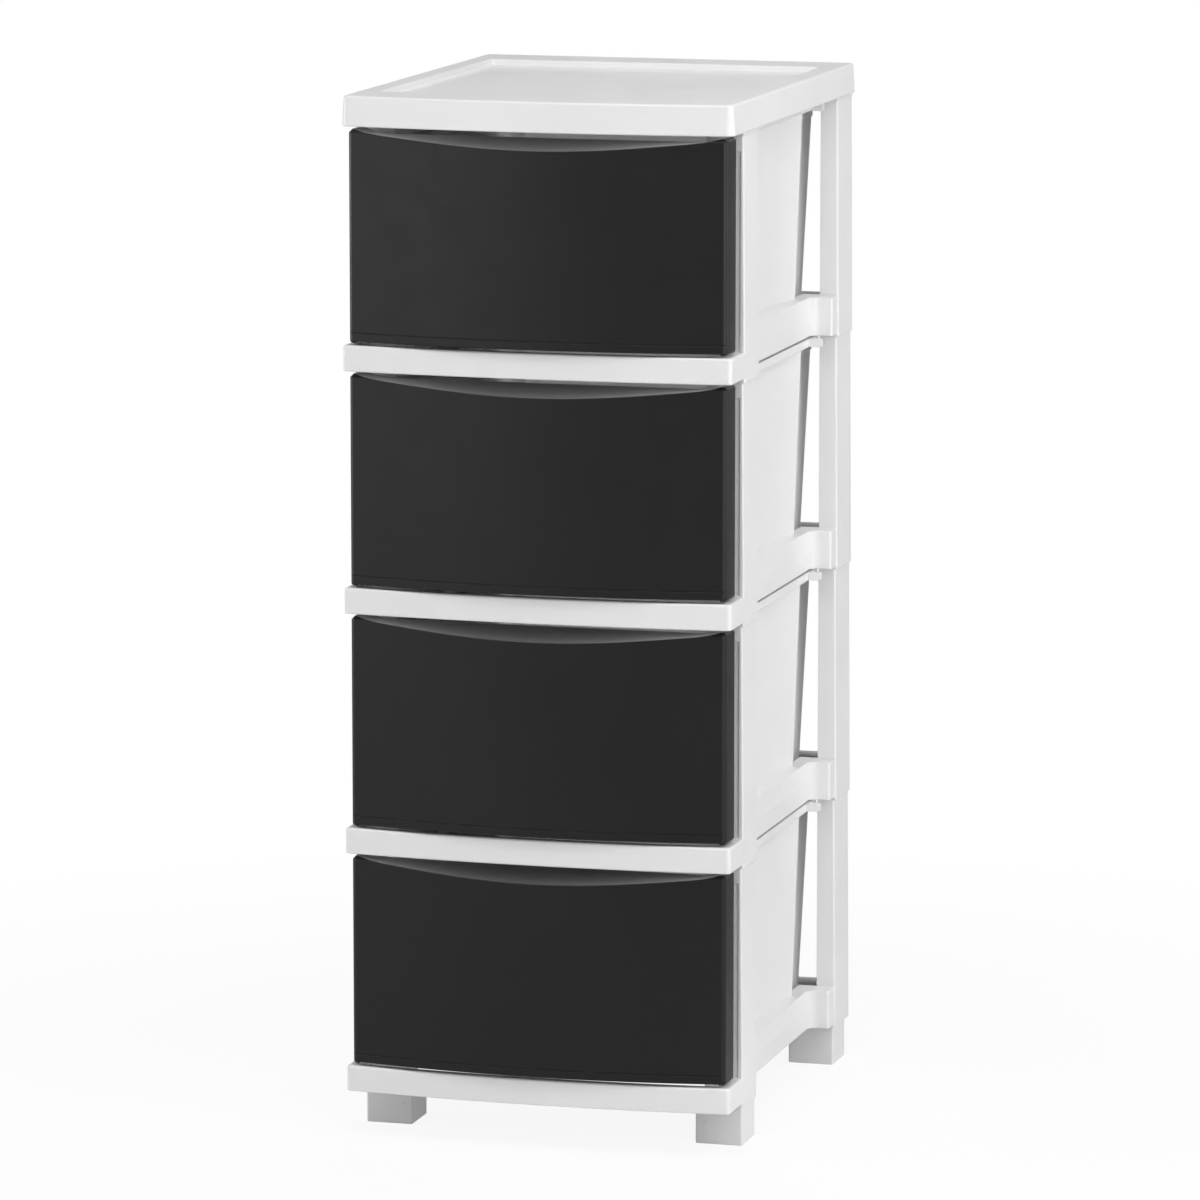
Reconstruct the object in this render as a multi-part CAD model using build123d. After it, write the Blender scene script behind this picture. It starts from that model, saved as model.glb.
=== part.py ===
"""A free-standing plastic storage tower: four equal drawer tiers stacked on feet, under a tray-topped lid.

Millimetres. +X to the right, +Y to the back, +Z up. The origin is the middle of the outline on the floor.
Inside this file the front rails' ends lie at Y = 0; everything is moved to the origin when it is written.
"""
import math
import os

from build123d import *

# Whole tower
body_width = 321.0            # over the posts at the foot of a tier
tier_count = 4
foot_height = 33.0            # floor to the foot of the lowest tier
lid_height = 24.5             # skirt of the lid
wall = 2.5                    # moulded wall of the frame pieces
fit = 0.3                     # clearance between pieces that plug together
overrun = 5.0                 # how far a cut runs past the piece
post_lean = 1.6               # each tier's outer faces lean in by this much towards its top

# Posts of a side frame
front_post_depth = 45.0
rear_post_width = 16.0
rear_post_depth = 50.0
post_spacing = 263.0          # clear length between the front post and the rear post
spigot_height = 10.0          # plugs up into the piece above
collar_height = 12.0          # full-size collar at the top of the front post
collar_step = 0.8             # the post's front face lies this far behind its collar
collar_edge = 2.5             # plain strip left along the outer edge of that face
post_edge = 1.5               # rounded outer edges

# Side panel, sill and top flange of a side frame
panel_set_in = 29.0           # panel behind the outer face of the posts
panel_flare = 6.0             # the panel's rear end turns out by this much
panel_straight = 120.0        # flat length before the flare
panel_length = 229.0          # at the top
panel_slant = 16.5            # shorter by this much at the sill
sill_set_in = 17.5            # sill behind the outer face of the posts
sill_rise = 2.8               # sill above the foot of the tier
sill_height = 32.2
sill_crease = 16.2            # height of the upright lower part of the sill
sill_lean = 1.8               # the upper part leans in by this much
sill_slope = 3.5              # the ledge climbs by this much to the panel
sill_edge = 1.2               # rounded lower edge
bracket_depth = 18.0          # block at the sill's rear end, in front of the rear post
bracket_set_in = 0.9          # block behind the outer face of the posts
bracket_round = 10.0          # hollow corner between sill and block
bracket_edge = 2.0            # rounded edges of the block
flange_thickness = 6.5
flange_lift = 1.2             # the flange stands above the tier's top by this much
flange_tab_reach = 10.5       # small tab standing out from the flange ahead of the rear post
flange_tab_depth = 6.0
flange_tab_set_back = 30.0    # front of that tab ahead of the rear post
flange_reach = 10.0           # guide lip inside the panel, over the drawer's rim
runner_width = 20.0
runner_thickness = 3.0

# Front rail
rail_return = 42.0            # from the rail's ends back to the front posts
rail_rise = 3.5               # rail above the foot of the tier
rail_height = 21.0
rail_bow = 9.0                # the front swells by this much at mid-width
rail_corner = 4.0
rail_edge = 2.0               # rounded top edge
rail_foot_edge = 1.0
rail_ledge = 8.0              # width of the top web
tab_width = 4.0
tab_height = 11.0
tab_reach = 6.0               # plugs into the post

# Back rail
back_rail_height = 29.0
back_rail_depth = 11.0
back_rail_rib_count = 5

# Feet
foot_width = 39.0
foot_depth = 40.5
foot_side_inset = 1.9         # foot behind the outer face of the post
front_foot_inset = 6.0        # front feet behind the front face of the front posts
rear_foot_inset = 2.5         # rear feet behind the front face of the rear posts
foot_wall = 3.0
foot_corner = 1.5
foot_edge = 1.0
foot_mark_radius = 1.3        # small moulding mark on the front feet
foot_mark_depth = 0.5
foot_mark_height = 18.0
foot_mark_from_inside = 7.0

# Lid
lid_side_overhang = 1.0       # past the posts at the sides
lid_back_overhang = 5.0
lid_front_set_back = 1.0      # lid's front corners behind the front rail's
lid_bow = 12.5
lid_corner = 7.0
lid_draft_angle = 3.5
lid_edge = 2.2
lid_foot_edge = 1.0
tray_side_rim = 19.0
tray_front_rim = 44.0
tray_back_rim = 49.0
tray_depth = 5.0
tray_corner = 3.5
tray_draft_angle = 25.0
tray_round = 1.5              # round the tray's mouth
tray_floor_round = 2.0        # between the tray's floor and its slopes

# Drawer front
front_height = 171.3
front_side_gap = 4.5          # drawer front inside the front rail's ends
front_set_back = 3.0          # drawer front's corners behind the front rail's ends
front_bow = 16.5
front_depth = 26.5            # depth of the side returns
front_wall = 2.5
front_corner = 5.0
front_top_corner = 2.7
front_bottom_corner = 2.4
front_rail_gap = 1.5          # drawer front above the front rail
front_top_gap = 2.2           # drawer front below the next rail or the lid
dish_inset = 5.0              # the finger dish ends inside the front's sides
dish_drop = 12.1              # it lowers the front's top edge by this much at mid-width
dish_back_drop = 5.4          # and the rear edge, which is level but for its ends
dish_back_run = 25.0          # length of those rising ends
dish_edge = 0.8               # rounded front edge of the dish
arch_rise = 1.5               # the bottom edge is raised between two end tabs
arch_tab = 5.0
groove_height = 7.9           # above the bottom edge
groove_width = 0.9
groove_depth = 0.5
peg_radius = 4.0
peg_pin_radius = 2.4
peg_pin_reach = 5.0
peg_side_inset = 48.0         # pegs in from the sides of the tub
peg_rise = 36.0               # lower pegs above the bottom edge
peg_drop = 52.0               # upper pegs below the top edge

# Drawer tub
tub_wall = 2.2
tub_floor = 2.5
tub_top_gap = 5.9             # tub's rim below the flanges
tub_front_gap = 4.5           # between the drawer front's back edges and the tub
tub_rim = 0.8                 # bead round the top
tub_rim_thickness = 5.0
tub_side_draft = 3.0          # narrower by this much on each side at the floor
tub_back_draft = 22.0
tub_back_gap = 2.7            # tub's bead to the rear face of the rear posts
tub_corner = 5.0
tub_rim_edge = 1.0            # rounded top of the bead
tub_floor_round = 2.0         # inside, between floor and walls
tub_foot_edge = 3.0           # outside, below the walls
running_gap = 2.0             # between a drawer and the frame beside it

# Places that follow from the sizes above
half = body_width / 2
half_top = half - post_lean
rail_z = (rail_rise, rail_rise + rail_height)
front_z = (rail_z[1] + front_rail_gap, rail_z[1] + front_rail_gap + front_height)
tier_pitch = front_z[1] + front_top_gap - rail_rise
flange_z = (tier_pitch + flange_lift - flange_thickness, tier_pitch + flange_lift)
front_post_y = (rail_return, rail_return + front_post_depth)
rear_post_y = (front_post_y[1] + post_spacing, front_post_y[1] + post_spacing + rear_post_depth)
rear_post_in = half - rear_post_width
panel_x = half - panel_set_in
panel_in = panel_x - wall
front_post_in = panel_in
sill_x = half - sill_set_in
sill_z = (sill_rise, sill_rise + sill_height)
front_y = (front_set_back, front_set_back + front_depth)
front_half = half - front_side_gap
runner_top = rail_z[1] + running_gap
tub_z = (runner_top + fit, flange_z[0] - tub_top_gap)
tub_front = front_y[1] + tub_front_gap
tub_back = rear_post_y[1] - tub_back_gap - tub_rim
tub_half = panel_in - running_gap - tub_rim
lid_half = half + lid_side_overhang
lid_back = rear_post_y[1] + lid_back_overhang
tower_top = foot_height + tier_count * tier_pitch
front_most = min(-rail_bow, lid_front_set_back - lid_bow, front_set_back - front_bow)
to_origin = Pos(0, -(lid_back + front_most) / 2, 0)


def block(x, y, z):
    """Box between two limits on each axis."""
    corner = Pos(x[0], y[0], z[0])
    return corner * Box(x[1] - x[0], y[1] - y[0], z[1] - z[0], align=(Align.MIN, Align.MIN, Align.MIN))


def prism_z(points, z):
    """Outline in X and Y, raised between two heights."""
    return Pos(0, 0, z[0]) * extrude(make_face(Polyline(*points, close=True)), z[1] - z[0])


def prism_y(points, y):
    """Outline in X and Z, drawn along Y."""
    outline = Pos(0, y[0], 0) * (Plane.XZ * make_face(Polyline(*points, close=True)))
    return extrude(outline, y[1] - y[0], dir=(0, 1, 0))


def prism_x(points, x):
    """Outline in Y and Z, drawn along X."""
    outline = Pos(x[0], 0, 0) * (Plane.YZ * make_face(Polyline(*points, close=True)))
    return extrude(outline, x[1] - x[0], dir=(1, 0, 0))


def bowed_face(half_width, front, bow, back, corner=0.0):
    """Plan outline with square sides and a front that swells forward at mid-width."""
    swell = ThreePointArc((-half_width, front), (0, front - bow), (half_width, front))
    sides = Polyline((half_width, front), (half_width, back), (-half_width, back), (-half_width, front))
    outline = make_face([swell, sides])
    if corner > 0:
        outline = fillet(outline.vertices().sort_by(Axis.Y)[:2], corner)
    return outline


def bow_depth(x, half_width, bow):
    """How far the swelling front lies ahead of its ends at the distance x from mid-width."""
    radius = (half_width ** 2 + bow ** 2) / (2 * bow)
    return math.sqrt(radius ** 2 - x ** 2) - (radius - bow)


def slab(face, z):
    """Plan outline raised between two heights."""
    return Pos(0, 0, z[0]) * extrude(face, z[1] - z[0])


def leaning_post(x_in, y, inset, z):
    """Post whose outer face leans in towards the top, shrunk by inset on all four sides."""
    def outer(height):
        return half - inset - post_lean * height / tier_pitch

    outline = [
        (x_in + inset, z[0]),
        (outer(z[0]), z[0]),
        (outer(z[1]), z[1]),
        (x_in + inset, z[1]),
    ]
    return prism_y(outline, (y[0] + inset, y[1] - inset))


def hollow_post(x_in, y):
    """Tube post, closed at the top by a cap that carries a spigot for the piece above."""
    tube = leaning_post(x_in, y, 0, (0, tier_pitch))
    upright = [edge for edge in tube.edges() if edge.length >= tier_pitch and edge.center().X > x_in + wall]
    tube = fillet(upright, post_edge)
    tube -= leaning_post(x_in, y, wall, (-overrun, tier_pitch - wall))
    return tube + spigot(x_in, y, (tier_pitch - wall / 2, tier_pitch + spigot_height))


def spigot(x_in, y, z):
    """Plug that fits up into the foot of a hollow post or into a socket of the lid."""
    plug = block(
        (x_in + wall + fit, half_top - wall - fit),
        (y[0] + wall + fit, y[1] - wall - fit),
        z,
    )
    return plug


def rail_tab(clearance):
    """Tab at the right end of a front rail, or its slot in the post when given a clearance."""
    outer = half - wall - fit - tab_width / 2
    top = rail_z[1] - wall
    return block(
        (outer - tab_width - clearance, outer + clearance),
        (rail_return - tab_reach, rail_return + tab_reach + clearance),
        (top - tab_height - clearance, top + clearance),
    )


def back_tab(clearance):
    """Tab at the right end of a back rail, or its slot in the rear post when given a clearance."""
    middle = sill_rise + back_rail_height / 2
    return block(
        (rear_post_in - tab_reach, rear_post_in + wall + tab_reach / 2),
        (rear_post_y[1] - wall * 2 - tab_width - clearance, rear_post_y[1] - wall * 2 + clearance),
        (middle - tab_height / 2 - clearance, middle + tab_height / 2 + clearance),
    )


def side_panel():
    """Thin panel between the posts: flat at first, then flared out to a slanted rear edge."""
    start = front_post_y[1] - wall / 2
    bend = front_post_y[1] + panel_straight
    end = front_post_y[1] + panel_length
    edges = [
        Line((panel_x, start), (panel_x, bend)),
        TangentArc((panel_x, bend), (panel_x + panel_flare, end), tangent=(0, 1)),
        Line((panel_x + panel_flare, end), (panel_in + panel_flare, end)),
        TangentArc((panel_in, bend), (panel_in + panel_flare, end), tangent=(0, 1)),
        Line((panel_in, bend), (panel_in, start)),
        Line((panel_in, start), (panel_x, start)),
    ]
    panel = slab(make_face(edges), (sill_z[0], tier_pitch))
    slant = [
        (end - panel_slant, sill_z[1]),
        (end, tier_pitch),
        (end + overrun, tier_pitch),
        (end + overrun, sill_z[0] - overrun),
        (end - panel_slant, sill_z[0] - overrun),
    ]
    return panel - prism_x(slant, (panel_in - overrun, half))


def sill():
    """Bottom rail under the panel, with a sloping ledge and a block ahead of the rear post."""
    start = front_post_y[1] - wall / 2
    end = rear_post_y[0] + wall / 2
    ledge_end = front_post_y[1] + panel_length - panel_slant
    body = prism_y(
        [
            (panel_in, sill_z[0]),
            (sill_x, sill_z[0]),
            (sill_x, sill_z[0] + sill_crease),
            (sill_x - sill_lean, sill_z[1]),
            (panel_in, sill_z[1]),
        ],
        (start, end),
    )
    lower_edge = body.edges().filter_by(Axis.Y).group_by(Axis.Z)[0].sort_by(Axis.X)[-1:]
    body = fillet(lower_edge, sill_edge)
    ledge = prism_y(
        [
            (panel_in, sill_z[1]),
            (sill_x - sill_lean, sill_z[1]),
            (panel_in, sill_z[1] + sill_slope),
        ],
        (start, ledge_end),
    )
    bracket_front = rear_post_y[0] - bracket_depth
    bracket_x = (sill_x - sill_lean, half - bracket_set_in)
    round_middle = (bracket_x[0] + bracket_round, bracket_front - bracket_round)
    diagonal = bracket_round * math.sqrt(1 / 2)
    outline = [
        ThreePointArc(
            (bracket_x[0], round_middle[1]),
            (round_middle[0] - diagonal, round_middle[1] + diagonal),
            (round_middle[0], bracket_front),
        ),
        Polyline(
            (round_middle[0], bracket_front),
            (bracket_x[1], bracket_front),
            (bracket_x[1], end),
            (bracket_x[0] - wall, end),
            (bracket_x[0] - wall, round_middle[1]),
            (bracket_x[0], round_middle[1]),
        ),
    ]
    bracket = slab(make_face(outline), sill_z)
    upright_edge = bracket.edges().filter_by(Axis.Z).group_by(Axis.X)[-1].sort_by(Axis.Y)[:1]
    bracket = fillet(upright_edge, bracket_edge)
    top_edges = bracket.faces().sort_by(Axis.Z)[-1].edges()
    inner_edges = top_edges.filter_by(Axis.X).sort_by(Axis.Y)
    hidden = [inner_edges[0], inner_edges[-1], top_edges.filter_by(Axis.Y).sort_by(Axis.X)[0]]
    bracket = fillet([edge for edge in top_edges if edge not in hidden], sill_edge)
    hollow = block(
        (panel_in + wall, sill_x - sill_lean - wall),
        (front_post_y[1] + wall, rear_post_y[0] - bracket_depth - wall),
        (sill_z[0] - overrun, sill_z[1] - wall),
    )
    bracket_hollow = block(
        (sill_x, half - bracket_set_in - wall),
        (bracket_front + wall, rear_post_y[0] - wall),
        (sill_z[0] - overrun, sill_z[1] - wall),
    )
    return body + ledge + bracket - hollow - bracket_hollow


def top_flange():
    """Flange along the top of the panel and across the window, with a small tab ahead of the rear post."""
    x = (panel_in - flange_reach, sill_x)
    joined = block(x, (front_post_y[1] - wall / 2, rear_post_y[0] + wall / 2), (flange_z[0], tier_pitch))
    raised = block(x, (front_post_y[1] + fit, rear_post_y[0] - fit), (tier_pitch - wall, flange_z[1]))
    tab_front = rear_post_y[0] - flange_tab_set_back
    tab = block(
        (sill_x - wall, sill_x + flange_tab_reach),
        (tab_front, tab_front + flange_tab_depth),
        flange_z,
    )
    corners = tab.edges().filter_by(Axis.Y).group_by(Axis.X)[-1]
    return joined + raised + fillet(corners, flange_thickness / 4)


def runner():
    """Ledge inside the panel that the drawer's tub slides on."""
    return block(
        (panel_in - runner_width, panel_in + wall / 2),
        (front_post_y[0] + wall, rear_post_y[1] - back_rail_depth - fit),
        (runner_top - runner_thickness, runner_top),
    )


def right_side_frame():
    """Side of one tier: two posts, the panel with its window, sill, flange and runner in one moulding."""
    front_post = hollow_post(front_post_in, front_post_y)
    rear_post = hollow_post(rear_post_in, rear_post_y)
    front_post -= block(
        (front_post_in - overrun, half_top - collar_edge),
        (front_post_y[0] - overrun, front_post_y[0] + collar_step),
        (rail_z[1] + collar_step, tier_pitch - collar_height),
    )
    frame = front_post + rear_post + side_panel() + sill() + top_flange() + runner()
    return frame - rail_tab(fit) - back_tab(fit)


def front_rail():
    """Bowed rail across the front of a tier, whose ends turn back and plug into the front posts."""
    body = slab(bowed_face(half, 0, rail_bow, rail_return, rail_corner), rail_z)
    top_edges = body.faces().sort_by(Axis.Z)[-1].edges()
    rear_line = top_edges.sort_by(Axis.Y)[-1:]
    body = fillet([edge for edge in top_edges if edge not in rear_line], rail_edge)
    foot_edges = body.faces().sort_by(Axis.Z)[0].edges()
    rear_line = foot_edges.sort_by(Axis.Y)[-1:]
    body = fillet([edge for edge in foot_edges if edge not in rear_line], rail_foot_edge)
    under = bowed_face(half - wall, wall, rail_bow, rail_return + overrun)
    body -= slab(under, (rail_z[0] - overrun, rail_z[1] - wall))
    inside = bowed_face(half - rail_ledge, rail_ledge, rail_bow, rail_return + overrun)
    body -= slab(inside, (rail_z[0] - overrun, rail_z[1] + overrun))
    tab = rail_tab(0)
    return body + tab + mirror(tab, about=Plane.YZ)


def back_rail():
    """Channel across the back of a tier between the rear posts."""
    x = (-rear_post_in, rear_post_in)
    y = (rear_post_y[1] - back_rail_depth, rear_post_y[1] - wall)
    z = (sill_rise, sill_rise + back_rail_height)
    rail = block(x, y, z)
    rail -= block((x[0] - overrun, x[1] + overrun), (y[0] - overrun, y[1] - wall), (z[0] + wall, z[1] - wall))
    step = (x[1] - x[0] - wall) / (back_rail_rib_count - 1)
    for index in range(back_rail_rib_count):
        rib = x[0] + index * step
        rail += block((rib, rib + wall), y, z)
    tab = back_tab(0)
    return rail + tab + mirror(tab, about=Plane.YZ)


def right_foot(x_in, y, inset, marked):
    """Hollow foot under one post, with a plug on top that fits into the post."""
    outer = half - foot_side_inset
    front = y[0] + inset
    body = block((outer - foot_width, outer), (front, front + foot_depth), (0, foot_height))
    body = fillet(body.edges().filter_by(Axis.Z), foot_corner)
    body = fillet(body.faces().sort_by(Axis.Z)[0].edges(), foot_edge)
    body -= block(
        (outer - foot_width + foot_wall, outer - foot_wall),
        (front + foot_wall, front + foot_depth - foot_wall),
        (-overrun, foot_height - foot_wall),
    )
    if marked:
        mark = Pos(outer - foot_width + foot_mark_from_inside, front, foot_mark_height)
        body -= mark * Rot(90, 0, 0) * Cylinder(foot_mark_radius, foot_mark_depth * 2)
    plug = block(
        (x_in + wall + fit, outer - foot_wall),
        (front + foot_wall, min(y[1] - wall - fit, front + foot_depth - foot_wall)),
        (foot_height - foot_wall / 2, foot_height + spigot_height),
    )
    return body + plug


def lid_socket(x_in, y):
    """Square socket under the lid that sits on a post and takes its spigot."""
    z = (0, rail_rise + lid_height - tray_depth - wall / 2)
    outer = block((x_in, half_top), y, z)
    inner = block(
        (x_in + wall, half_top - wall),
        (y[0] + wall, y[1] - wall),
        (-overrun, z[1] - wall / 2),
    )
    return outer - inner


def top_lid():
    """Lid with a bowed front, a drafted skirt and a shallow tray in its top."""
    foot = rail_rise
    top = rail_rise + lid_height
    outline = bowed_face(lid_half, lid_front_set_back, lid_bow, lid_back)
    outline = fillet(outline.vertices(), lid_corner)
    body = Pos(0, 0, foot) * extrude(outline, lid_height, taper=lid_draft_angle)
    body = fillet(body.faces().sort_by(Axis.Z)[-1].edges(), lid_edge)
    body = fillet(body.faces().sort_by(Axis.Z)[0].edges(), lid_foot_edge)
    tray_y = (lid_front_set_back + tray_front_rim, lid_back - tray_back_rim)
    tray_width = 2 * (lid_half - tray_side_rim)
    tray_face = Pos(0, sum(tray_y) / 2) * RectangleRounded(tray_width, tray_y[1] - tray_y[0], tray_corner)
    body -= Pos(0, 0, top) * extrude(tray_face, -tray_depth, taper=tray_draft_angle)
    body = fillet(body.faces().sort_by(Axis.Z)[-1].inner_wires()[0].edges(), tray_round)
    tray_floor = body.faces().filter_by(Axis.Z).sort_by(Axis.Z)[-2]
    body = fillet(tray_floor.edges(), tray_floor_round)
    under = bowed_face(lid_half - wall * 2, lid_front_set_back + wall * 2, lid_bow, lid_back - wall * 2)
    body -= slab(under, (foot - overrun, top - tray_depth - wall))
    for x_in, y in ((front_post_in, front_post_y), (rear_post_in, rear_post_y)):
        socket = lid_socket(x_in, y)
        body += socket + mirror(socket, about=Plane.YZ)
    return body


def dish():
    """Cutter for the finger dish, from a sagging front edge to a nearly level rear edge."""
    side = front_half - dish_inset
    level = side - dish_back_run
    top = front_z[1]

    def sag(x):
        return x, top - bow_depth(x, side, dish_drop)

    def section(lower_edges, y):
        upper = Polyline((side, top), (side, top + overrun), (-side, top + overrun), (-side, top))
        return Pos(0, y, 0) * (Plane.XZ * make_face([*lower_edges, upper]))

    front_edges = [
        ThreePointArc(sag(-side), sag(-(side + level) / 2), sag(-level)),
        ThreePointArc(sag(-level), sag(0), sag(level)),
        ThreePointArc(sag(level), sag((side + level) / 2), sag(side)),
    ]
    floor = top - dish_back_drop
    rear_edges = [
        TangentArc((-level, floor), (-side, top), tangent=(-1, 0)),
        Line((-level, floor), (level, floor)),
        TangentArc((level, floor), (side, top), tangent=(1, 0)),
    ]
    front = section(front_edges, front_y[0] - front_bow)
    rear = section(rear_edges, front_y[1])
    cutter = loft([front, rear], ruled=True)
    return cutter + extrude(front, overrun, dir=(0, -1, 0)) + extrude(rear, overrun, dir=(0, 1, 0))


def peg_places():
    """X and Z of the four pegs behind a drawer front."""
    for x in (peg_side_inset - tub_half, tub_half - peg_side_inset):
        for z in (front_z[0] + peg_rise, front_z[1] - peg_drop):
            yield x, z


def drawer_front():
    """Bowed hollow front with a dished top edge, an arched bottom edge and four pegs for the tub."""
    body = slab(bowed_face(front_half, front_y[0], front_bow, front_y[1], front_corner), front_z)
    upper_sides = body.edges().filter_by(Axis.Y).group_by(Axis.Z)[-1]
    body = chamfer(upper_sides, front_top_corner)
    lower_sides = body.edges().filter_by(Axis.Y).group_by(Axis.Z)[0]
    body = fillet(lower_sides, front_bottom_corner)
    body -= dish()
    swell = max(body.faces().filter_by(GeomType.CYLINDER), key=lambda face: face.area)
    dish_line = [edge for edge in swell.edges() if edge.center().Z > front_z[1] - dish_drop - dish_edge]
    body = fillet(dish_line, dish_edge)
    cavity = slab(
        bowed_face(front_half - front_wall, front_y[0] + front_wall, front_bow, front_y[1] + overrun),
        (front_z[0] + front_wall + arch_rise, front_z[1] - front_wall - front_top_corner),
    )
    body -= cavity - Pos(0, 0, -front_wall) * dish()
    body -= block(
        (arch_tab - front_half, front_half - arch_tab),
        (front_y[0] - front_bow - overrun, front_y[1] + overrun),
        (front_z[0] - overrun, front_z[0] + arch_rise),
    )
    groove_z = (front_z[0] + groove_height, front_z[0] + groove_height + groove_width)
    skin = block((-half, half), (front_y[0] - front_bow - overrun, front_y[0]), groove_z)
    core = bowed_face(front_half - groove_depth, front_y[0] + groove_depth, front_bow, front_y[1] + overrun)
    body -= skin - slab(core, (groove_z[0] - overrun, groove_z[1] + overrun))
    for x, z in peg_places():
        start = front_y[0] - bow_depth(x, front_half, front_bow) + front_wall / 2
        body += Pos(x, start, z) * Rot(-90, 0, 0) * Cylinder(
            peg_radius, tub_front - start, align=(Align.CENTER, Align.CENTER, Align.MIN)
        )
        body += Pos(x, tub_front, z) * Rot(-90, 0, 0) * Cylinder(
            peg_pin_radius, peg_pin_reach, align=(Align.CENTER, Align.CENTER, Align.MIN)
        )
    return body


def tub_section(inset, grow):
    """Plan of the tub, inset from its outer face; it grows by the whole draft from the floor to the top."""
    half_width = tub_half - tub_side_draft * (1 - grow) - inset
    back = tub_back - tub_back_draft * (1 - grow) - inset
    front = tub_front + inset
    corner = max(tub_corner - inset, tub_wall)
    return Pos(0, (front + back) / 2) * RectangleRounded(2 * half_width, back - front, corner)


def drafted(inset, z):
    """Tub-shaped solid between two heights."""
    def grow(height):
        return (height - tub_z[0]) / (tub_z[1] - tub_z[0])

    return loft([Pos(0, 0, height) * tub_section(inset, grow(height)) for height in z])


def drawer_tub():
    """Open box with drafted walls, a lip round its top and holes for the drawer front's pegs."""
    body = drafted(0, tub_z)
    body = fillet(body.faces().sort_by(Axis.Z)[0].edges(), tub_foot_edge)
    lip_z = (tub_z[1] - tub_rim_thickness, tub_z[1])
    lip = tub_section(-tub_rim, 1)
    body += slab(lip, lip_z)
    inside = drafted(tub_wall, (tub_z[0] + tub_floor, tub_z[1] + overrun))
    body -= fillet(inside.faces().sort_by(Axis.Z)[0].edges(), tub_floor_round)
    body = fillet(body.faces().sort_by(Axis.Z)[-1].edges(), tub_rim_edge)
    for x, z in peg_places():
        body -= Pos(x, tub_front, z) * Rot(90, 0, 0) * Cylinder(peg_pin_radius + fit, overrun * 2)
    return body


def write(shape, node, height):
    """Moves a piece to its tier and the tower's origin, and writes it."""
    export_step(to_origin * Pos(0, 0, height) * shape, f"parts/{node}.step")


os.makedirs("parts", exist_ok=True)

side = right_side_frame()
other_side = mirror(side, about=Plane.YZ)
tier_pieces = {
    "right_side_frame": side,
    "left_side_frame": other_side,
    "front_rail": front_rail(),
    "back_rail": back_rail(),
    "drawer_front": drawer_front(),
    "drawer_tub": drawer_tub(),
}
for tier in range(tier_count):
    for name, piece in tier_pieces.items():
        write(piece, f"tier_{tier + 1}_{name}", foot_height + tier * tier_pitch)

for name, x_in, y, inset in (
    ("front", front_post_in, front_post_y, front_foot_inset),
    ("rear", rear_post_in, rear_post_y, rear_foot_inset),
):
    foot = right_foot(x_in, y, inset, marked=name == "front")
    write(foot, f"{name}_right_foot", 0)
    write(mirror(foot, about=Plane.YZ), f"{name}_left_foot", 0)

write(top_lid(), "top_lid", tower_top)
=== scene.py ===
"""Looks of a white plastic drawer tower with black drawer fronts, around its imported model.

Metres, in the model's frame: +X to the right, +Y to the back, +Z up, with the origin on the floor below the
middle of the tower.
"""
import math

import bpy
from mathutils import Matrix, Vector


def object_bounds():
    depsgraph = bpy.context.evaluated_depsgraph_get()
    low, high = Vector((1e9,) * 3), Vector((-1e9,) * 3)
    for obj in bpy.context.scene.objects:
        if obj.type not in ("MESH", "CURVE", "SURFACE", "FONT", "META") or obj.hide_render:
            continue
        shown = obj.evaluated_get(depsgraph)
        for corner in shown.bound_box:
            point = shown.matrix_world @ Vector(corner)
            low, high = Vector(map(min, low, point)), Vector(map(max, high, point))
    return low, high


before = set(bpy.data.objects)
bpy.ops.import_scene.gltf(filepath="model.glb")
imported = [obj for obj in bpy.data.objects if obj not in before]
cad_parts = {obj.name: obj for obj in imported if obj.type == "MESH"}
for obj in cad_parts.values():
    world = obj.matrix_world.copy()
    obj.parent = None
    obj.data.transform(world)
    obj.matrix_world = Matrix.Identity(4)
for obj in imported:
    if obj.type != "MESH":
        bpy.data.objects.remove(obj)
cad_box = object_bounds()
middle = Vector((0, 0, (cad_box[0][2] + cad_box[1][2]) / 2))

# Camera of the photograph, fitted to the tower's edges
CAMERA_TARGET = Vector((0.05312, -0.19575, 0.44902))
CAMERA_DISTANCE = 5.761
CAMERA_YAW = math.radians(15.756)
CAMERA_PITCH = math.radians(9.197)
CAMERA_LENS = 217.6
CAMERA_SENSOR = 36.0
CAMERA_REACH = 200.0

# Softboxes round the tower: azimuth from the front (right is positive), elevation, width, height, power
LAMP_DISTANCE = 3.0
SOFTBOXES = {
    "left_softbox": (-84, 8, 1.2, 1.4, 32),
    "left_top_softbox": (-62, 56, 1.2, 1.2, 10),
    "left_front_softbox": (-32, 10, 1.6, 1.4, 11),
    "front_top_softbox": (6, 64, 1.2, 0.6, 24),
    "right_front_softbox": (60, 4, 1.2, 1.2, 17),
    "right_high_softbox": (62, 36, 2.8, 2.4, 47),
    "right_top_softbox": (80, 58, 1.4, 1.2, 4),
    "right_back_softbox": (115, 4, 1.2, 1.4, 13),
    "back_softbox": (180, 44, 1.6, 1.4, 14),
}
SKY_STRENGTH = 0.09

# White paper: a floor that shows white to the camera, a little less so close to the tower, where its shadow
# lies. Polished surfaces show it dimmer, from the front's glow to the back's, and the backdrop like the back
FLOOR_SIZE = 60.0
FLOOR_GREY = 0.9
FLOOR_ROUGHNESS = 0.9
FLOOR_SPECULAR = 0.1
FLOOR_NEAR = 0.45
FLOOR_FAR = 1.1
FLOOR_NEAR_GLOW = 0.90
FRONT_GLOW = 0.6
BACK_GLOW = 0.25
BACKDROP_START = -0.2
BACKDROP_END = 0.8
BACKDROP_TURN = 0.4

# Edges of the mouldings: how round they look, and the turn of the surface at which wear starts and is full
EDGE_RADIUS = 0.0009
EDGE_SAMPLES = 4
WEAR_START_COSINE = 0.99
WEAR_FULL_COSINE = 0.85

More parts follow.
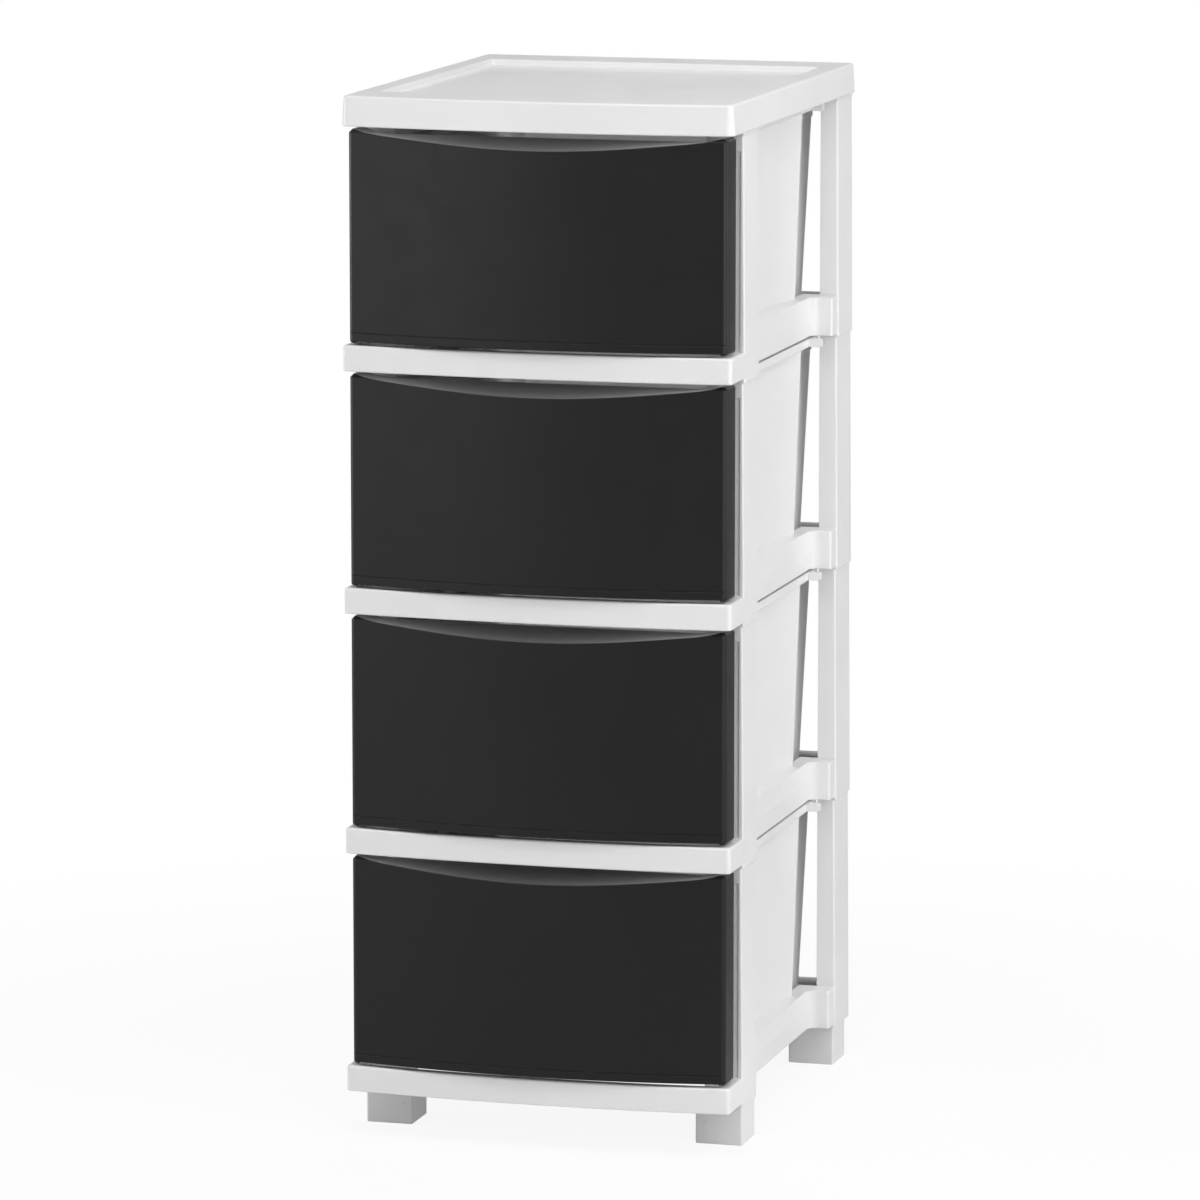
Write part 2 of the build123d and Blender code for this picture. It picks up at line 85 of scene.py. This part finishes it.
# Fine grain of the mould, clouds in the colour, patches of gloss and scuffs, and the noise levels between
# which they rise
GRAIN_PER_METRE = 1500.0
GRAIN_DETAIL = 2.0
GRAIN_DEPTH = 0.00004
GRAIN_STRENGTH = 0.35
CLOUD_PER_METRE = 7.0
GLOSS_PER_METRE = 30.0
SCUFF_PER_METRE = 90.0
PATCH_DETAIL = 4.0
PATCH_LEVELS = (0.3, 0.7)
SCUFF_LEVELS = (0.42, 0.66)

# The three plastics
FRAME_LOOK = {
    "dark": (0.80, 0.80, 0.80),
    "light": (0.835, 0.835, 0.83),
    "worn": (0.86, 0.86, 0.86),
    "rough": (0.28, 0.36),
    "specular": 0.5,
}
TUB_LOOK = {
    "dark": (0.78, 0.78, 0.78),
    "light": (0.82, 0.82, 0.815),
    "worn": (0.85, 0.85, 0.85),
    "rough": (0.36, 0.46),
    "specular": 0.45,
}
FRONT_LOOK = {
    "dark": (0.005, 0.005, 0.0054),
    "light": (0.0072, 0.0072, 0.0076),
    "worn": (0.03, 0.03, 0.03),
    "rough": (0.37, 0.44),
    "specular": 0.38,
}

# Light that soaks through the tubs, and the film of dust on faces of the fronts that look up
TUB_SOAK = 1.0
TUB_SOAK_REACH = 0.008
DUST_START = 0.3
DUST_FULL = 0.9
DUST_SHEEN = 0.75
DUST_ROUGHNESS = 0.35


def principled(material):
    """The main shader of a node material."""
    return material.node_tree.nodes["Principled BSDF"]


def shader(name):
    """New node material; returns it with its tree and its main shader."""
    material = bpy.data.materials.new(name)
    material.use_nodes = True
    return material, material.node_tree, principled(material)


def node(tree, kind, **settings):
    """Adds a node and sets its inputs by name, and its own settings by attribute."""
    made = tree.nodes.new(kind)
    for key, value in settings.items():
        if key in made.inputs:
            made.inputs[key].default_value = value
        else:
            setattr(made, key, value)
    return made


def noise(tree, scale, detail):
    """Noise over the object's own coordinates, in features per metre."""
    place = node(tree, "ShaderNodeTexCoord")
    made = node(tree, "ShaderNodeTexNoise", Scale=scale, Detail=detail)
    tree.links.new(place.outputs["Object"], made.inputs["Vector"])
    return made.outputs["Fac"]


def remap(tree, value, low, high, to_low, to_high):
    """Maps one range of a value on another, and stops at its ends."""
    made = node(tree, "ShaderNodeMapRange")
    for key, limit in (("From Min", low), ("From Max", high), ("To Min", to_low), ("To Max", to_high)):
        made.inputs[key].default_value = limit
    tree.links.new(value, made.inputs["Value"])
    return made.outputs["Result"]


def combine(tree, operation, first, second):
    """Value of two sockets put together."""
    made = node(tree, "ShaderNodeMath", operation=operation)
    tree.links.new(first, made.inputs[0])
    tree.links.new(second, made.inputs[1])
    return made.outputs["Value"]


def blend_colours(tree, share, first, second):
    """Mixes two colours, each a socket or three numbers, by a share between 0 and 1."""
    made = node(tree, "ShaderNodeMix", data_type="RGBA")
    tree.links.new(share, made.inputs["Factor"])
    sockets = [socket for socket in made.inputs if socket.type == "RGBA"]
    for socket, colour in zip(sockets, (first, second)):
        if isinstance(colour, tuple):
            socket.default_value = (*colour, 1)
        else:
            tree.links.new(colour, socket)
    return [socket for socket in made.outputs if socket.type == "RGBA"][0]


def part_of(tree, vector, axis):
    """One part, X, Y or Z, of a vector socket."""
    parts = node(tree, "ShaderNodeSeparateXYZ")
    tree.links.new(vector, parts.inputs["Vector"])
    return parts.outputs[axis]


def true_normal(tree):
    """The way a face looks, before bump and rounding."""
    return node(tree, "ShaderNodeNewGeometry").outputs["True Normal"]


def edge_share(tree, soft_normal):
    """Share that rises from 0 on flat faces to 1 along the edges."""
    facing = node(tree, "ShaderNodeVectorMath", operation="DOT_PRODUCT")
    tree.links.new(soft_normal, facing.inputs[0])
    tree.links.new(true_normal(tree), facing.inputs[1])
    return remap(tree, facing.outputs["Value"], WEAR_START_COSINE, WEAR_FULL_COSINE, 0, 1)


def moulded_plastic(name, dark, light, worn, rough, specular):
    """Satin moulded plastic: cloudy colour, uneven gloss, fine mould grain and soft, handled edges."""
    material, tree, plastic = shader(name)
    soft = node(tree, "ShaderNodeBevel", samples=EDGE_SAMPLES, Radius=EDGE_RADIUS).outputs["Normal"]
    scuffs = remap(tree, noise(tree, SCUFF_PER_METRE, PATCH_DETAIL), *SCUFF_LEVELS, 0, 1)
    wear = combine(tree, "MULTIPLY", edge_share(tree, soft), scuffs)
    cloud = remap(tree, noise(tree, CLOUD_PER_METRE, PATCH_DETAIL), *PATCH_LEVELS, 0, 1)
    colour = blend_colours(tree, wear, blend_colours(tree, cloud, dark, light), worn)
    tree.links.new(colour, plastic.inputs["Base Color"])
    gloss = remap(tree, noise(tree, GLOSS_PER_METRE, PATCH_DETAIL), *PATCH_LEVELS, *rough)
    tree.links.new(gloss, plastic.inputs["Roughness"])
    grain = node(tree, "ShaderNodeBump", Strength=GRAIN_STRENGTH, Distance=GRAIN_DEPTH)
    tree.links.new(noise(tree, GRAIN_PER_METRE, GRAIN_DETAIL), grain.inputs["Height"])
    tree.links.new(soft, grain.inputs["Normal"])
    tree.links.new(grain.outputs["Normal"], plastic.inputs["Normal"])
    plastic.inputs["Specular IOR Level"].default_value = specular
    return material


def frame_plastic():
    """White satin plastic of the side frames, rails, feet and lid."""
    return moulded_plastic("white_plastic", **FRAME_LOOK)


def tub_plastic():
    """Thinner white plastic of the drawer tubs, which lets some light through."""
    material = moulded_plastic("tub_plastic", **TUB_LOOK)
    plastic = principled(material)
    plastic.inputs["Subsurface Weight"].default_value = TUB_SOAK
    plastic.inputs["Subsurface Radius"].default_value = (1, 1, 1)
    plastic.inputs["Subsurface Scale"].default_value = TUB_SOAK_REACH
    return material


def front_plastic():
    """Black satin plastic of the drawer fronts, with a film of fine dust on its ledges."""
    material = moulded_plastic("black_plastic", **FRONT_LOOK)
    tree, plastic = material.node_tree, principled(material)
    upward = part_of(tree, true_normal(tree), "Z")
    dust = remap(tree, upward, DUST_START, DUST_FULL, 0, DUST_SHEEN)
    tree.links.new(dust, plastic.inputs["Sheen Weight"])
    plastic.inputs["Sheen Roughness"].default_value = DUST_ROUGHNESS
    return material


def dress(material, words):
    """Gives a material to every node whose name holds one of the words."""
    for name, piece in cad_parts.items():
        if any(word in name for word in words):
            piece.data.materials.clear()
            piece.data.materials.append(material)


def softbox(name, azimuth, elevation, width, height, power):
    """Soft lamp on a sphere round the tower's middle, facing it."""
    turn, tilt = math.radians(azimuth), math.radians(elevation)
    way = Vector((math.sin(turn) * math.cos(tilt), -math.cos(turn) * math.cos(tilt), math.sin(tilt)))
    lamp = bpy.data.lights.new(name, "AREA")
    lamp.shape = "RECTANGLE"
    lamp.size, lamp.size_y = width, height
    lamp.energy = power
    holder = bpy.data.objects.new(name, lamp)
    holder.location = middle + LAMP_DISTANCE * way
    holder.rotation_euler = (-way).to_track_quat("-Z", "Y").to_euler()
    bpy.context.scene.collection.objects.link(holder)


def mirror_ray(tree, path):
    """Share of 1 for rays that a polished or a clear surface sends on."""
    return combine(tree, "MAXIMUM", path.outputs["Is Glossy Ray"], path.outputs["Is Transmission Ray"])


def mix_into(tree, share, first, second, output):
    """Sends a mix of two shaders to the tree's output."""
    mix = node(tree, "ShaderNodeMixShader")
    tree.links.new(share, mix.inputs["Fac"])
    tree.links.new(first, mix.inputs[1])
    tree.links.new(second, mix.inputs[2])
    tree.links.new(mix.outputs["Shader"], tree.nodes[output].inputs["Surface"])


def paper_floor():
    """Wide pale floor that shows white to the camera and keeps the tower's soft shadow."""
    bpy.ops.mesh.primitive_plane_add(size=FLOOR_SIZE)
    floor = bpy.context.object
    floor.name = "floor"
    material, tree, paper = shader("floor_paper")
    paper.inputs["Base Color"].default_value = (FLOOR_GREY, FLOOR_GREY, FLOOR_GREY, 1)
    paper.inputs["Roughness"].default_value = FLOOR_ROUGHNESS
    paper.inputs["Specular IOR Level"].default_value = FLOOR_SPECULAR
    glow = node(tree, "ShaderNodeEmission")
    path = node(tree, "ShaderNodeLightPath")
    place = node(tree, "ShaderNodeTexCoord").outputs["Object"]
    reach = node(tree, "ShaderNodeVectorMath", operation="LENGTH")
    tree.links.new(place, reach.inputs[0])
    near_glow = remap(tree, reach.outputs["Value"], FLOOR_NEAR, FLOOR_FAR, FLOOR_NEAR_GLOW, 1)
    seen = combine(tree, "MULTIPLY", path.outputs["Is Camera Ray"], near_glow)
    depth = part_of(tree, place, "Y")
    mirrored_glow = remap(tree, depth, BACKDROP_START, BACKDROP_END, FRONT_GLOW, BACK_GLOW)
    brightness = combine(tree, "MAXIMUM", path.outputs["Is Camera Ray"], mirrored_glow)
    tree.links.new(brightness, glow.inputs["Strength"])
    share = combine(tree, "MAXIMUM", seen, mirror_ray(tree, path))
    mix_into(tree, share, paper.outputs["BSDF"], glow.outputs["Emission"], "Material Output")
    floor.data.materials.append(material)


def studio_sky():
    """Weak even light from all round; white where the camera sees it."""
    world = bpy.data.worlds.new("studio")
    bpy.context.scene.world = world
    world.use_nodes = True
    tree = world.node_tree
    light = tree.nodes["Background"]
    light.inputs["Color"].default_value = (1, 1, 1, 1)
    light.inputs["Strength"].default_value = SKY_STRENGTH
    backdrop = node(tree, "ShaderNodeBackground", Color=(1, 1, 1, 1), Strength=1.0)
    path = node(tree, "ShaderNodeLightPath")
    way = node(tree, "ShaderNodeTexCoord").outputs["Generated"]
    behind = remap(tree, part_of(tree, way, "Y"), 0, BACKDROP_TURN, 0, BACK_GLOW)
    mirrored = combine(tree, "MULTIPLY", mirror_ray(tree, path), behind)
    share = combine(tree, "MAXIMUM", path.outputs["Is Camera Ray"], mirrored)
    mix_into(tree, share, light.outputs["Background"], backdrop.outputs["Background"], "World Output")


def photo_camera():
    """Long lens from the front right, a little above the tower's middle."""
    back = Vector((
        math.sin(CAMERA_YAW) * math.cos(CAMERA_PITCH),
        -math.cos(CAMERA_YAW) * math.cos(CAMERA_PITCH),
        math.sin(CAMERA_PITCH),
    ))
    right = Vector((math.cos(CAMERA_YAW), math.sin(CAMERA_YAW), 0))
    pose = Matrix((right, back.cross(right), back)).transposed().to_4x4()
    pose.translation = CAMERA_TARGET + CAMERA_DISTANCE * back
    lens = bpy.data.cameras.new("photo_camera")
    lens.lens = CAMERA_LENS
    lens.sensor_width = CAMERA_SENSOR
    lens.clip_end = CAMERA_REACH
    holder = bpy.data.objects.new("photo_camera", lens)
    holder.matrix_world = pose
    bpy.context.scene.collection.objects.link(holder)
    bpy.context.scene.camera = holder


dress(frame_plastic(), ("frame", "rail", "foot", "lid"))
dress(tub_plastic(), ("tub",))
dress(front_plastic(), ("drawer_front",))
paper_floor()
studio_sky()
for lamp_name, settings in SOFTBOXES.items():
    softbox(lamp_name, *settings)
photo_camera()
bpy.context.scene.view_settings.view_transform = "Standard"
